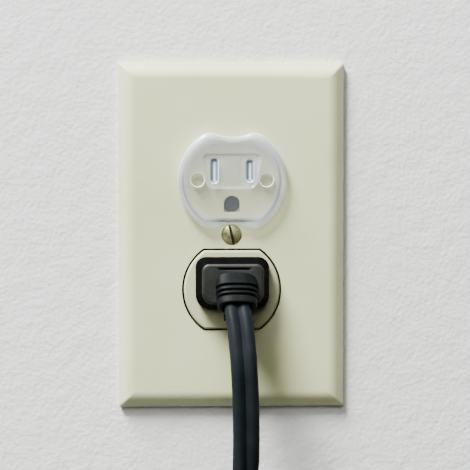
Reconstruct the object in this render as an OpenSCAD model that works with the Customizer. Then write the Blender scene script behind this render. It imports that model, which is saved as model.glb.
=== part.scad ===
// Duplex wall outlet: bevelled wall plate, two-socket receptacle, a push-in safety cap in the upper socket
// and a plugged-in two-core lead in the lower one.
// Frame: +Z up, -Y out of the wall towards the room, wall surface at y = 0, origin midway between the two
// mounting screws. All sizes are in millimetres.

/* [Wall plate] */
// Width of the wall plate
plate_w = 81; // [74:0.5:100]
// Height of the wall plate
plate_h = 123.8; // [118:0.5:150]
// Depth of the wall plate, from the wall to its front
plate_d = 5.6; // [5:0.1:8]
// Wall thickness of the wall plate
plate_wall = 2.0; // [1.6:0.1:2.4]
// Width of the flat slope round the plate's edge
slope_w = 2.6; // [1:0.1:4]
// Width of the soft roll from the slope to the flat front
roll_w = 3.3; // [1:0.1:5]
// Angle of the slope, in degrees
slope_angle = 36; // [20:1:40]

/* [Sockets] */
// Distance between the centres of the two sockets
socket_pitch = 38.9; // [36.5:0.1:44]
// Diameter of a socket's round face, before its flats
face_dia = 34.4; // [33:0.1:35.4]
// Height of a socket's face between its flats
face_flats = 28.2; // [27:0.1:30]
// Gap between a socket's face and the plate's opening
face_gap = 0.55; // [0.3:0.05:0.8]
// How far a socket's face stands proud of the plate
face_proud = 1.0; // [0.5:0.1:1.8]
// Distance between the two blade slots
blade_pitch = 12.7; // [12:0.1:13.4]
// Height of the blade slots above the socket's centre
slot_up = 3.75; // [3:0.05:4.5]
// Distance from the slots' line down to the ground hole
ground_drop = 11.9; // [11:0.1:12.8]
// Height of the long, neutral slot
neutral_slot_h = 8.2; // [7.6:0.1:9]
// Height of the short, hot slot
hot_slot_h = 7.0; // [6.6:0.1:7.6]
// Width of a blade slot
slot_w = 2.0; // [1.8:0.05:2.3]
// Width of the arched ground hole
ground_hole_w = 5.6; // [5:0.1:6]

/* [Receptacle body] */
// Width of the receptacle's body
body_w = 33; // [32:0.5:36]
// Height of the receptacle's body
body_h = 69; // [67:0.5:74]
// Depth of the rear housing behind the strap
base_d = 24; // [20:0.5:30]
// Thickness of the front cover's plinth
plinth_t = 1.9; // [1.4:0.1:1.9]
// Distance from the centre to each rivet that holds the cover to the housing
rivet_x = 11; // [10.4:0.1:11.4]
// Radius of those rivets
rivet_r = 1.5; // [1.2:0.1:1.6]

/* [Mounting strap] */
// Overall height of the steel strap; it gains half of what the plate's height gains
strap_h = 106.4; // [102:0.2:112]
// Thickness of the strap
strap_t = 1.2; // [1:0.1:1.4]
// Width of the strap's middle bar
strap_w = 9.5; // [9:0.1:10]
// Width across the strap's ears
ear_w = 33; // [28:0.5:40]
// Distance between the two box screws
box_screw_pitch = 83.34; // [80:0.1:88]
// Thread radius of the box screws and of the plate screw
screw_r = 1.75; // [1.5:0.05:2]
// Length of the box screws behind the wall surface
box_screw_l = 16; // [10:1:30]
// Radius of the terminal screws
terminal_r = 2.0; // [1.7:0.1:2.2]
// Distance between the two terminal screws on one side
terminal_pitch = 19; // [16:0.5:21]

/* [Plate screw] */
// Radius of the oval head
head_r = 3.5; // [3.2:0.05:3.6]
// Height of the head's dome
head_dome = 1.0; // [0.6:0.1:1.2]
// Angle of the driver slot from upright, in degrees
driver_slot_angle = 13; // [0:1:90]

/* [Safety cap] */
// Width of the safety cap
cap_w = 39; // [38:0.1:42]
// Height of the safety cap
cap_h = 34.1; // [33:0.1:34.4]
// Depth of the cap's front above the plate
cap_d = 3.8; // [3.4:0.1:6]
// Radius of the cap's four corners
cap_corner_r = 6; // [4:0.2:7]
// Depth of the hollow in the middle of the cap's top and bottom edges
cap_notch = 1.4; // [0.8:0.1:1.8]
// Length of the cap's prongs behind the socket's face
prong_l = 14; // [10:0.5:16]
// Radius of the two round holes
cap_hole_r = 2.3; // [1.8:0.1:2.5]
// Distance between the two round holes
cap_hole_pitch = 24.6; // [23.5:0.1:26]

/* [Plug] */
// Width of the plug against the socket
plug_w = 26; // [24:0.2:28]
// Height of the plug against the socket
plug_h = 18.4; // [17:0.2:19]
// Depth of the plug out to its front
plug_d = 10; // [9:0.2:14]
// Width by which each side slopes in to the plug's front
plug_slope = 2.3; // [1.5:0.1:3]
// Length of the blades
blade_l = 16.5; // [15.9:0.1:18.2]
// Thickness of the blades
blade_t = 1.5; // [1.4:0.05:1.6]
// Width of the strain relief
relief_w = 15; // [13:0.2:16]
// Thickness of the strain relief
relief_t = 8.2; // [7.6:0.2:9]
// Length of the strain relief along its upper side, outside the plug
relief_l = 12.4; // [11:0.2:16]
// Angle at which the strain relief points down, in degrees
relief_angle = 50; // [40:1:60]
// How far the strain relief is pulled over to the right
relief_side = 1.3; // [-2:0.1:2]

/* [Lead] */
// Width of the flat two-core cord
cord_w = 9.3; // [8.8:0.1:9.4]
// Thickness of the cord
cord_t = 4.7; // [4.4:0.1:4.8]
// Radius of the middle turn of the tied coil
coil_r = 51.5; // [50:0.5:53]
// Length of the far connector's body
connector_l = 26; // [22:0.5:32]

/* [Hidden] */
$fn = 64;

eps = 0.01;
fit = 0.05;          // clearance between pieces that touch
loose = 0.15;        // clearance round pieces that drop in

// wall plate
rim_d = plate_d - slope_w * tan(slope_angle) - roll_w * (1 - cos(slope_angle)) / sin(slope_angle);
front_y = -plate_d;
plate_back_y = front_y + plate_wall;
boss_r = 5;

// sockets
upper_z = socket_pitch / 2;
lower_z = -socket_pitch / 2;
sockets = [upper_z, lower_z];
face_y = front_y - face_proud;
plinth_y = -strap_t - plinth_t;
slots_mid_z = slot_up;                   // midway between the two sockets' rows of slots
blade_x = blade_pitch / 2;
ground_up = slot_up - ground_drop;       // ground hole's height from the socket's centre

// contacts
leaf_t = 0.6;
leaf_gap = blade_t + 0.06;               // the leaves stand just clear of a blade
leaf_h = 6.4;
leaf_front_y = 2;
leaf_back_y = 13;
side_plate_t = 1;
side_plate_x = body_w / 2 - 1.6 - side_plate_t;
side_plate_y = 6;
side_plate_w = 11;
tab_h = 6;
terminal_y = side_plate_y + side_plate_w / 2;
terminal_head_r = 3.7;
terminal_head_t = 2;
strap_len = strap_h + (plate_h - 123.8) / 2;      // the strap keeps to the room under the plate
side_plate_over = 11;                    // how far the side plate reaches past each terminal screw
ground_sleeve_r = 2.5;
ground_sleeve_l = 10;
ground_strip_t = 0.8;

// ground terminal
tab_z = -body_h / 2 - 1.7;
tab_t = 1.2;
tab_x = -7.8;
tab_w = 7;
tab_y = 4.8;
tab_d = 9.4;

// box screws
box_screw_z = box_screw_pitch / 2;
neck_r = screw_r - 0.3;
retainer_t = 0.3;
pan_head_r = 3.3;
pan_head_h = 1.8;

// plug
plug_z = lower_z + 2.55;
plug_y = face_y - fit;
plug_front_y = plug_y - plug_d;
blade_z = lower_z + slot_up;
hot_blade_h = hot_slot_h - 0.65;
neutral_blade_h = neutral_slot_h - 0.4;
blade_hole_r = 1.6;
carrier_t = 3;
front_wall = 2.4;     // thickness of the plug's front, round the strain relief
crimp_l = plug_d - carrier_t - front_wall - 2;
crimp_r = 1.6;
core_r = 1.05;
relief_up = [0, -sin(relief_angle), cos(relief_angle)];
relief_dir = [0, -cos(relief_angle), -sin(relief_angle)];
relief_top = [relief_side, plug_front_y, plug_z + 4.2];        // where its upper side leaves the plug
relief_end = relief_top + relief_l * relief_dir - relief_t / 2 * relief_up;
relief_whole = relief_l + 8;
rib_count = 3;
rib_pitch = 2.1;
rib_gap = 0.9;
rib_depth = 0.8;
core_x = cord_t / 2 - 0.05;
jacket_in = 6;        // how far the cord's jacket reaches into the strain relief

// lead: the hanging stretch, from the strain relief down to the coil, as [x, y, z] from the end of the relief
drop_points = [[0.25, -1.7, -2], [0.65, -3.2, -4.2], [1.1, -5.3, -8.4], [1.45, -6.9, -13], [1.8, -7.8, -17.6],
    [2.1, -8.2, -22.5], [2.4, -8.3, -28.5], [2.6, -8.2, -35], [2.7, -8.1, -42], [2.7, -8, -49], [2.5, -7.9, -55],
    [1.8, -7.8, -63], [-0.1, -7.7, -71.5], [-3.8, -7.6, -80.5], [-9.3, -7.5, -88.5], [-15.8, -7.5, -94.5],
    [-23.2, -7.5, -99]];
cord_points = concat([relief_end - jacket_in * relief_dir, relief_end - 2 * relief_dir],
    [for (p = drop_points) relief_end + p]);
twist_from = 12;      // ring at which the flat cord starts its quarter turn
turn_t = cord_t + 0.2;
layer_w = cord_w + 0.2;
coil_turns_deep = 3;
coil_layers = 2;
outer_r = coil_r + (coil_turns_deep - 1) / 2 * turn_t;
join_angle = 116;     // where the hanging stretch joins the coil, from the right
join_point = cord_points[len(cord_points) - 1];
coil_pos = join_point + [-outer_r * cos(join_angle), layer_w / 2, -outer_r * sin(join_angle)];
tie_angle = 140;
tie_w = 10;
tie_t = 1;
tie_room = 0.45;
// the free end, which leaves the coil's left side downwards
tail_start = coil_pos + [-outer_r, layer_w / 2, 0];
tail_points = [for (p = [[0, 0], [-1, -5.5], [-2.8, -11], [-5.2, -16.5]]) tail_start + [p[0], 0, p[1]]];
tail_turn = 23.5;
tail_dir = [-sin(tail_turn), 0, -cos(tail_turn)];
connector_w = 17;
connector_t = 10;
connector_relief_l = 13;
sleeve_pitch = 8.6;
sleeve_r = 1.2;
sleeve_wall = 0.35;

// ---------- general shapes ----------

// points of an arc from angle a to angle b
function arc(centre, r, a, b, n) = [for (i = [0:n]) centre + r * [cos(a + (b - a) * i / n), sin(a + (b - a) * i / n)]];

function unit(v) = v / norm(v);

// turns a solid built along +Z, with its own +Y upwards, so that it grows towards the room
module outwards() { rotate([90, 0, 0]) children(); }

// a prism whose outline is drawn as seen from the room, from depth y_back out to y_front
module slab(y_back, y_front) { translate([0, y_back, 0]) outwards() linear_extrude(y_back - y_front) children(); }

// a rod along Y, from y_back out to y_front
module rod(x, z, r, y_back, y_front) { translate([x, y_back, z]) outwards() cylinder(r = r, h = y_back - y_front); }

module rounded(w, h, r) {
    points = concat(arc([w / 2 - r, h / 2 - r], r, 0, 90, 6), arc([r - w / 2, h / 2 - r], r, 90, 180, 6),
        arc([r - w / 2, r - h / 2], r, 180, 270, 6), arc([w / 2 - r, r - h / 2], r, 270, 360, 6));
    polygon(points);
}

// a circle with its top and bottom cut flat
module socket_shape(dia, flats) { intersection() { circle(d = dia); square([dia + 1, flats], center = true); } }

// a tube along a route: rings of the section's points, one ring at each point of the route
module sweep(route, section, wide) {
    n = len(route);
    m = len(section);
    function along(i) = unit(route[min(i + 1, n - 1)] - route[max(i - 1, 0)]);
    function across(i) = let (t = along(i), w = wide[i]) unit(w - (w * t) * t);
    function ring(i) = let (w = across(i), u = cross(along(i), w)) [for (p = section) route[i] + p[0] * w + p[1] * u];
    sides = [for (i = [0:n - 2], j = [0:m - 1])
        [i * m + j, i * m + (j + 1) % m, (i + 1) * m + (j + 1) % m, (i + 1) * m + j]];
    ends = [[for (j = [m - 1:-1:0]) j], [for (j = [0:m - 1]) (n - 1) * m + j]];
    polyhedron([for (i = [0:n - 1]) each ring(i)], concat(sides, ends));
}

// ---------- wall plate ----------

// half of the plate's edge profile, as [distance in from the outside edge, depth]
function edge_profile(deep) = let (r = roll_w / sin(slope_angle), z0 = rim_d + slope_w * tan(slope_angle) - (plate_d - deep))
    concat([[0, 0], [0, rim_d - (plate_d - deep)]],
        [for (i = [0:4]) let (a = slope_angle * (1 - i / 4))
            [slope_w + roll_w - r * sin(a), z0 + r * (cos(a) - cos(slope_angle))]]);

module dish_profile(w, deep) {
    side = edge_profile(deep);
    right = [for (p = side) [w / 2 - p[0], -p[1]]];
    left = [for (i = [len(side) - 1:-1:0]) [side[i][0] - w / 2, -side[i][1]]];
    polygon(concat(right, left));
}

// a block with a mitred, rolled edge: two prisms of the same edge profile, crossed
module dish(w, h, deep) {
    intersection() {
        linear_extrude(h, center = true) dish_profile(w, deep);
        rotate([0, 90, 0]) linear_extrude(w, center = true) dish_profile(h, deep);
    }
}

module wall_plate() {
    opening = face_dia + 2 * face_gap;
    color("#c9cbbc") difference() {
        union() {
            difference() {
                dish(plate_w, plate_h, plate_d);
                translate([0, eps, 0]) dish(plate_w - 2 * plate_wall, plate_h - 2 * plate_wall, plate_d - plate_wall);
            }
            rod(0, 0, boss_r, -strap_t - 0.4, plate_back_y - eps);
        }
        for (z = sockets)
            translate([0, 0, z]) slab(1, front_y - 1) socket_shape(opening, face_flats + 2 * face_gap - 0.1);
        rod(0, 0, screw_r + 0.35, 1, front_y - 1);
        rod(0, 0, head_r + loose, front_y + 0.3, front_y - 1);
        translate([0, front_y + 0.3 - eps, 0]) rotate([-90, 0, 0])
            cylinder(r1 = head_r + loose, r2 = screw_r + 0.35, h = head_r - screw_r + 0.1);
    }
}

// ---------- receptacle ----------

module ground_hole() {
    r = ground_hole_w / 2;
    union() { circle(r); translate([-r, -r - 0.2]) square([2 * r, r + 0.2]); }
}

module slots(side_h) {
    for (s = [[-1, neutral_slot_h], [1, hot_slot_h]])
        translate([s[0] * blade_x, slot_up]) square([slot_w, s[1]], center = true);
    translate([0, ground_up]) ground_hole();
}

module receptacle_face() {
    window_r = boss_r + 0.6;
    color("#c2c3b0") difference() {
        union() {
            for (z = sockets) translate([0, 0, z]) slab(-fit, face_y) socket_shape(face_dia, face_flats);
            slab(-fit, plinth_y) rounded(body_w, body_h, 2.5);
        }
        for (z = sockets) translate([0, 0, z]) slab(1, face_y - 1) slots();
        rod(0, 0, window_r, 1, face_y - 1);
        slab(1, -strap_t - fit) square([strap_w + 2 * loose, body_h + 2], center = true);
        for (s = [-1, 1]) {
            rod(s * rivet_x, 0, rivet_r + fit, 1, face_y);
            rod(s * rivet_x, 0, rivet_r + 1, plinth_y + 0.7, face_y);
        }
    }
}

// the space for one contact's gripping leaves behind a slot, and for the tab that ties them to the side plate
module leaf_chamber(s, z) {
    translate([s * blade_x - 2.2, -1, z - leaf_h / 2 - 1.4]) cube([4.6, leaf_back_y + 3, leaf_h + 2.8]);
    translate([s > 0 ? blade_x : -side_plate_x - 1, leaf_back_y - loose, z - tab_h / 2 - loose])
        cube([side_plate_x + 1 - blade_x, leaf_t + 2 * loose, tab_h + 2 * loose]);
}

module rear_housing() {
    recess_h = terminal_pitch + 2 * side_plate_over + 2;
    recess_x = side_plate_x - loose;
    color("#8d8a80") difference() {
        union() {
            slab(base_d - 1.5, fit) rounded(body_w, body_h, 2.5);
            slab(base_d, base_d - 1.5 - eps) rounded(body_w - 2.4, body_h - 2.4, 2.5);
        }
        for (s = [-1, 1]) {
            translate([s > 0 ? recess_x : -recess_x - 10, side_plate_y - 1, slots_mid_z - recess_h / 2])
                cube([10, side_plate_w + 2, recess_h]);
            for (z = sockets) leaf_chamber(s, z + slot_up);
            for (k = [-1, 1])
                translate([s * (side_plate_x - 2), terminal_y, slots_mid_z + k * terminal_pitch / 2])
                    rotate([0, s * 90, 0]) cylinder(r = terminal_r + 0.4, h = 4);
            rod(s * rivet_x, 0, rivet_r + fit, base_d + 1, -1);
            rod(s * rivet_x, 0, rivet_r + 1, base_d + 1, base_d - 0.8);
        }
        for (z = sockets) rod(0, z + ground_up, ground_sleeve_r + 0.9, ground_sleeve_l + 4, -1);
        translate([-3.2, -1, lower_z + ground_up - 5]) cube([6.4, 3, socket_pitch + 10]);
        rod(0, 0, screw_r + 0.5, 14, -1);
    }
}

// a stamped contact: for each socket two leaves joined at the back, tied by a tab to the side plate
module contact(s) {
    mid = slots_mid_z;
    plate_h2 = terminal_pitch + 2 * side_plate_over;
    difference() {
        union() {
            for (z = sockets) translate([0, 0, z + slot_up]) {
                for (k = [-1, 1]) translate([s * blade_x + k * (leaf_gap + leaf_t) / 2, 0, 0])
                    translate([-leaf_t / 2, leaf_front_y, -leaf_h / 2])
                        cube([leaf_t, leaf_back_y - leaf_front_y + leaf_t, leaf_h]);
                translate([s * blade_x - leaf_gap / 2 - leaf_t, leaf_back_y, -leaf_h / 2])
                    cube([leaf_gap + 2 * leaf_t, leaf_t, leaf_h]);
                translate([s > 0 ? blade_x : -side_plate_x - eps, leaf_back_y, -tab_h / 2])
                    cube([side_plate_x + eps - blade_x, leaf_t, tab_h]);
            }
            translate([s > 0 ? side_plate_x : -side_plate_x - side_plate_t, side_plate_y, mid - plate_h2 / 2])
                cube([side_plate_t, side_plate_w, plate_h2]);
        }
        for (k = [-1, 1])
            translate([s * (side_plate_x - 1), terminal_y, mid + k * terminal_pitch / 2])
                rotate([0, s * 90, 0]) cylinder(r = terminal_r + fit, h = side_plate_t + 2);
        // the break-off neck between the two terminals
        for (y = [side_plate_y - 1, side_plate_y + side_plate_w - 3])
            translate([s * (side_plate_x + side_plate_t / 2) - 1, y, mid - 1.2]) cube([2, 4, 2.4]);
    }
}

module hot_contact() { color("#c9a24b") contact(1); }
module neutral_contact() { color("#c4c4bf") contact(-1); }

module ground_contact() {
    strip_w = 5.6;
    low = lower_z + ground_up;
    high = upper_z + ground_up;
    outer = ground_sleeve_r + leaf_t;
    color("#c9a24b") difference() {
        union() {
            translate([-strip_w / 2, fit, low - 3.4]) cube([strip_w, ground_strip_t, high - low + 6.8]);
            for (z = [low, high]) rod(0, z, outer, fit + ground_sleeve_l, fit);
        }
        for (z = [low, high]) rod(0, z, ground_sleeve_r, ground_sleeve_l + 2, -1);
        rod(0, 0, screw_r + 0.5, 5, -1);
        for (z = ground_rivet_z) rod(0, z, 1 + fit, 5, -1);
        // slits that let the sleeves spring open
        for (z = [low, high]) translate([-4, fit + 2.5, z - 0.3]) cube([8, ground_sleeve_l, 0.6]);
    }
}

ground_rivet_z = [-5.5, -14];

module ground_rivets() {
    color("#b08d3f") for (z = ground_rivet_z) union() {
        rod(0, z, 1, fit + ground_strip_t + eps, -strap_t);
        rod(0, z, 1.6, fit + ground_strip_t + 0.6, fit + ground_strip_t + fit / 5);
    }
}

module housing_rivets() {
    color("#b9b6ad") for (s = [-1, 1]) difference() {
        union() {
            rod(s * rivet_x, 0, rivet_r, base_d - 0.2, plinth_y + 0.2);
            rod(s * rivet_x, 0, rivet_r + 0.9, base_d - 0.2, base_d - 0.75);
            rod(s * rivet_x, 0, rivet_r + 0.9, plinth_y + 0.65, plinth_y + 0.1);
        }
        rod(s * rivet_x, 0, rivet_r - 0.5, base_d, base_d - 2);
    }
}

module mounting_strap() {
    end_h = strap_len / 2 - body_h / 2 - 0.6;
    ear_h = 8.6;
    color("#b8bcc0") difference() {
        union() {
            slab(0, -strap_t) union() {
                square([strap_w, strap_len - 4], center = true);
                for (k = [-1, 1]) {
                    translate([0, k * (strap_len / 2 - end_h / 2 - 1)]) rounded(15, end_h - 2, 1.5);
                    translate([0, k * (strap_len / 2 - ear_h / 2)]) rounded(ear_w, ear_h, 2.5);
                }
                translate([tab_x - tab_w / 2, tab_z - tab_t]) square([-tab_x + tab_w / 2, 2.6]);
            }
            translate([tab_x - tab_w / 2, -strap_t, tab_z - tab_t]) cube([tab_w, tab_d + strap_t, tab_t]);
        }
        rod(0, 0, screw_r + fit, 1, -3);
        for (z = sockets) rod(0, z + ground_up, 3.2, 1, -3);
        for (z = ground_rivet_z) rod(0, z, 1 + fit, 1, -3);
        for (k = [-1, 1]) {
            slab(1, -3) translate([0, k * box_screw_z]) union() {
                square([4, 2 * screw_r + 0.4], center = true);
                for (i = [-1, 1]) translate([i * 2, 0]) circle(screw_r + 0.2);
            }
            // ear holes and the nicks at which the ears snap off
            for (i = [-1, 1]) {
                rod(i * (ear_w / 2 - 4.2), k * (strap_len / 2 - ear_h / 2), 1.4, 1, -3);
                slab(1, -3) translate([i * 8.6, k * (strap_len / 2 - ear_h)]) square([1.4, 3.4], center = true);
                slab(1, -3) translate([i * 8.6, k * strap_len / 2]) square([1.4, 3.4], center = true);
            }
        }
        translate([tab_x, tab_y, tab_z - 4]) cylinder(r = terminal_r + fit, h = 8);
    }
}

// ---------- screws ----------

// a machine screw along +Z from under its head: washer-faced head with a driver slot, and a plain shank
module terminal_screw(shank_l, hexagon = false) {
    difference() {
        union() {
            translate([0, 0, -terminal_head_t]) cylinder(r = terminal_head_r, h = terminal_head_t / 2);
            translate([0, 0, -terminal_head_t / 2 - eps])
                cylinder(r = terminal_head_r - (hexagon ? 0 : 0.3), h = terminal_head_t / 2 + eps);
            if (hexagon) translate([0, 0, -terminal_head_t - 1]) cylinder(r = terminal_head_r - 0.4, h = 1.2, $fn = 6);
            cylinder(r = terminal_r, h = shank_l);
        }
        translate([-5, -0.5, -terminal_head_t - 1.2]) cube([10, 1, hexagon ? 1.7 : 2.2]);
    }
}

module side_screws(s) {
    seat = side_plate_x + side_plate_t + fit;
    for (k = [-1, 1])
        translate([s * seat, terminal_y, slots_mid_z + k * terminal_pitch / 2])
            rotate([0, -s * 90, 0]) rotate([0, 0, 20 + 50 * k]) terminal_screw(side_plate_t + 1.4);
}

module hot_terminal_screws() { color("#c39a3f") side_screws(1); }
module neutral_terminal_screws() { color("#cfcfca") side_screws(-1); }

module ground_screw() {
    color("#2f7d4b") translate([tab_x, tab_y, tab_z - tab_t - fit]) rotate([0, 0, 35])
        terminal_screw(tab_t + 0.8, hexagon = true);
}

module box_screws() {
    color("#c3c6c8") for (k = [-1, 1]) translate([0, 0, k * box_screw_z]) difference() {
        union() {
            rod(0, 0, pan_head_r, -strap_t - fit, -strap_t - pan_head_h);
            rod(0, 0, neck_r, retainer_t + 1, -strap_t - 1);
            rod(0, 0, screw_r, box_screw_l, retainer_t + 0.12);
        }
        rotate([0, 40 * k, 0]) translate([-5, -strap_t - pan_head_h - 1, -0.5]) cube([10, 2, 1]);
    }
}

module screw_retainers() {
    color("#8a4b3a") for (k = [-1, 1]) translate([0, 0, k * box_screw_z]) difference() {
        slab(retainer_t, fit / 5) rounded(9, 7.6, 1);
        rod(0, 0, neck_r + fit, 1, -1);
    }
}

// the whole screw is one turned profile: domed head, countersunk underside, shank
module plate_screw() {
    dome_r = (head_r * head_r + head_dome * head_dome) / (2 * head_dome);
    half = asin(head_r / dome_r);
    cone_h = head_r - screw_r;
    shank_l = plate_d + 9;
    profile = concat([[0, -shank_l], [screw_r - fit / 5 - 0.5, -shank_l], [screw_r - fit / 5, -shank_l + 0.6],
        [screw_r - fit / 5, -cone_h - 0.3], [head_r, -0.25]],
        arc([0, head_dome - dome_r], dome_r, 90 - half, 90, 8));
    color("#a9a06f") rotate([0, -driver_slot_angle, 0]) difference() {
        translate([0, front_y, 0]) outwards() rotate_extrude() polygon(profile);
        translate([-0.45, front_y - head_dome - 1, -head_r - 1]) cube([0.9, 1.9, 2 * head_r + 2]);
    }
}

// ---------- safety cap ----------

// outline of the cap about its own centre: side arcs, corners and the two shallow hollows, inset by d
function cap_outline(d) = let (
    side_r = cap_w / 2,
    corner_z = cap_h / 2 - cap_corner_r,
    corner_a = asin(corner_z / (side_r - cap_corner_r)),
    corner_x = (side_r - cap_corner_r) * cos(corner_a),
    low_z = cap_h / 2 - cap_notch,
    drop = low_z - corner_z,
    notch_r = (corner_x * corner_x + drop * drop - cap_corner_r * cap_corner_r) / (2 * (cap_corner_r - drop)),
    notch_z = low_z + notch_r,
    join_a = atan2(notch_z - corner_z, -corner_x),
    quarter = concat(
        arc([0, 0], side_r - d, 0, corner_a, 8),
        arc([corner_x, corner_z], cap_corner_r - d, corner_a, join_a, 8),
        arc([0, notch_z], notch_r + d, 180 + join_a, 270, 4)),
    half = concat(quarter, [for (i = [len(quarter) - 2:-1:1]) [-quarter[i][0], quarter[i][1]]]))
    concat(half, [[d - side_r, 0]], [for (i = [1:len(half) - 1]) [-half[i][0], -half[i][1]]]);

module cap_shape(d) { polygon(cap_outline(d)); }

module safety_cap() {
    cap_y = front_y - fit * 2;
    cap_front_y = front_y - cap_d;
    edge = [[0, 1.4], [0.25, 0.9], [0.7, 0.45], [1.3, 0.12], [2, 0]];    // [inset, depth behind the front]
    color("#e4e8ec") translate([0, 0, upper_z]) difference() {
        union() {
            slab(cap_y, cap_front_y + edge[0][1]) cap_shape(0);
            for (i = [1:len(edge) - 1])
                slab(cap_front_y + edge[i - 1][1] + eps, cap_front_y + edge[i][1]) cap_shape(edge[i][0]);
            for (s = [[-1, neutral_slot_h - 0.6], [1, hot_slot_h - 0.6]])
                translate([s[0] * blade_x - blade_t / 2, face_y - 0.5, slot_up - s[1] / 2])
                    cube([blade_t, prong_l + 0.5, s[1]]);
        }
        difference() {
            slab(1, face_y - loose) socket_shape(face_dia + 0.6, face_flats + 0.6);
            for (s = [[-1, neutral_slot_h - 0.6], [1, hot_slot_h - 0.6]])
                translate([s[0] * blade_x - blade_t / 2, face_y - 1, slot_up - s[1] / 2])
                    cube([blade_t, prong_l + 5, s[1]]);
        }
        for (s = [-1, 1]) {
            rod(s * cap_hole_pitch / 2, 0.3, cap_hole_r, 1, front_y - cap_d - 1);
            slab(cap_front_y + 0.7, cap_front_y - 1) translate([s * 6.8, slot_up - 0.35]) rounded(7.8, 12, 2);
        }
    }
}

// ---------- plug ----------

module plug_shape(inset) {
    w = plug_w - 2 * inset;
    h = plug_h - 2 * inset;
    top_r = 3.6 - inset / 2;
    low_r = 5 - inset / 2;
    points = concat(arc([w / 2 - top_r, h / 2 - top_r], top_r, 0, 90, 6), arc([top_r - w / 2, h / 2 - top_r], top_r, 90, 180, 6),
        arc([low_r - w / 2, low_r - h / 2], low_r, 180, 270, 6), arc([w / 2 - low_r, low_r - h / 2], low_r, 270, 360, 6));
    polygon(points);
}

// the strain relief's frame: +Z along its axis, +X across, +Y on its upper side
module on_relief() { translate(relief_end) rotate([90 + relief_angle, 0, 0]) children(); }

// keeps only what lies in front of the given depth
module only_before(y) { intersection() { children(); translate([-40, y - 80, -120]) cube([80, 80, 160]); } }

module plug_body() {
    straight_d = plug_d * 0.52;
    color("#23262a") difference() {
        translate([0, 0, plug_z]) hull() {
            slab(plug_y, plug_y - straight_d) plug_shape(0);
            slab(plug_front_y + 0.5, plug_front_y) plug_shape(plug_slope);
        }
        // the seats of the blade carrier, the crimped ends and the wires
        translate([0, 0, blade_z]) slab(plug_y + 1, plug_y - carrier_t - 0.6) rounded(19.4 + 2 * fit, 9.4 + 2 * fit, 1.5);
        translate([-8.6, plug_front_y + front_wall, blade_z - 2.4]) cube([17.2, plug_d - front_wall - 1, 4.8]);
        translate([-7.4, plug_front_y + 1.3, blade_z - 2.4]) cube([15, front_wall, 4.8]);
        only_before(plug_front_y + front_wall + fit) on_relief() translate([0, 0, -relief_whole])
            linear_extrude(relief_whole + 10) rounded(relief_w + 2 * fit, relief_t + 2 * fit, 2.6);
    }
}

module blade_carrier() {
    color("#3a3d40") translate([0, 0, blade_z]) difference() {
        slab(plug_y - fit, plug_y - carrier_t) rounded(19.4, 9.4, 1.5);
        for (s = [[-1, neutral_blade_h], [1, hot_blade_h]])
            slab(1, plug_y - 10) translate([s[0] * blade_x, 0]) square([blade_t + 2 * fit, s[1] + 2 * fit], center = true);
    }
}

module blade(s, h) {
    tip = plug_y + blade_l;
    translate([s * blade_x, 0, blade_z]) difference() {
        intersection() {
            translate([-blade_t / 2, plug_y - carrier_t - 0.5, -h / 2]) cube([blade_t, blade_l + carrier_t + 0.5, h]);
            // the tip's corners are chamfered
            rotate([0, 90, 0]) linear_extrude(4, center = true)
                polygon([[h / 2, -60], [h / 2, tip - 1.2], [h / 2 - 1.2, tip], [1.2 - h / 2, tip], [-h / 2, tip - 1.2], [-h / 2, -60]]);
        }
        translate([0, plug_y + 11.9, 0]) rotate([0, 90, 0]) cylinder(r = blade_hole_r, h = 4, center = true);
    }
}

module hot_blade() { color("#c9ccc9") blade(1, hot_blade_h); }
module neutral_blade() { color("#c9ccc9") blade(-1, neutral_blade_h); }

module blade_crimps() {
    y = plug_y - carrier_t - 0.5 - fit / 5;
    color("#b9a05a") for (s = [-1, 1]) difference() {
        rod(s * blade_x, blade_z, crimp_r, y, y - crimp_l + 0.6);
        rod(s * blade_x, blade_z, crimp_r - 0.5, y - 0.8, y - crimp_l);
    }
}

// a round core through the given points; each straight piece runs a little past its bends
module core(points) {
    last = len(points) - 2;
    for (i = [0:last]) let (d = points[i + 1] - points[i], n = norm(d), past = i < last ? 0.4 : 0)
        translate(points[i]) rotate([0, acos(d[2] / n), atan2(d[1], d[0])]) cylinder(r = core_r - 0.04 * i, h = n + past);
}

// the two cores, from the end of the cord's jacket up to the crimps
module plug_wires() {
    start = relief_end - (jacket_in + 0.4) * relief_dir;
    mouth_y = plug_y - carrier_t - crimp_l + 0.1;
    bend = start - 3 * relief_dir;
    color("#b5673a") for (s = [-1, 1])
        core([start + [s * core_x, 0, 0], bend + [s * (core_x + 1), 0, 0],
            [s * blade_x, mouth_y - 1.5, blade_z], [s * blade_x, mouth_y + 1.05, blade_z]]);
}

module strain_relief() {
    first_rib = -1.9 - rib_count * rib_pitch;
    color("#1f2226") difference() {
        only_before(plug_front_y + front_wall) on_relief() difference() {
            translate([0, 0, -relief_whole]) linear_extrude(relief_whole) rounded(relief_w, relief_t, 2.6);
            translate([0, 0, -relief_whole - 1]) linear_extrude(relief_whole + 2)
                rounded(cord_w + 0.3, cord_t + 0.3, cord_t / 2 + 0.1);
            for (i = [0:rib_count - 1]) translate([0, 0, first_rib + i * rib_pitch]) difference() {
                translate([-20, -20, 0]) cube([40, 40, rib_gap]);
                linear_extrude(rib_gap) rounded(relief_w - 2 * rib_depth, relief_t - 2 * rib_depth, 2);
            }
        }
        // the mouth through which the cores spread to the crimps
        translate([relief_side - relief_w, plug_front_y + front_wall - 1.7, blade_z - 4]) cube([2 * relief_w, 3, 6]);
    }
}

// ---------- lead ----------

function cord_section(n) = [for (i = [0:n - 1]) let (a = 360 * (i + 0.5) / n)
    [(cord_w - cord_t) / 2 * sign(cos(a)) + cord_t / 2 * cos(a), cord_t / 2 * sin(a)]];

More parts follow.
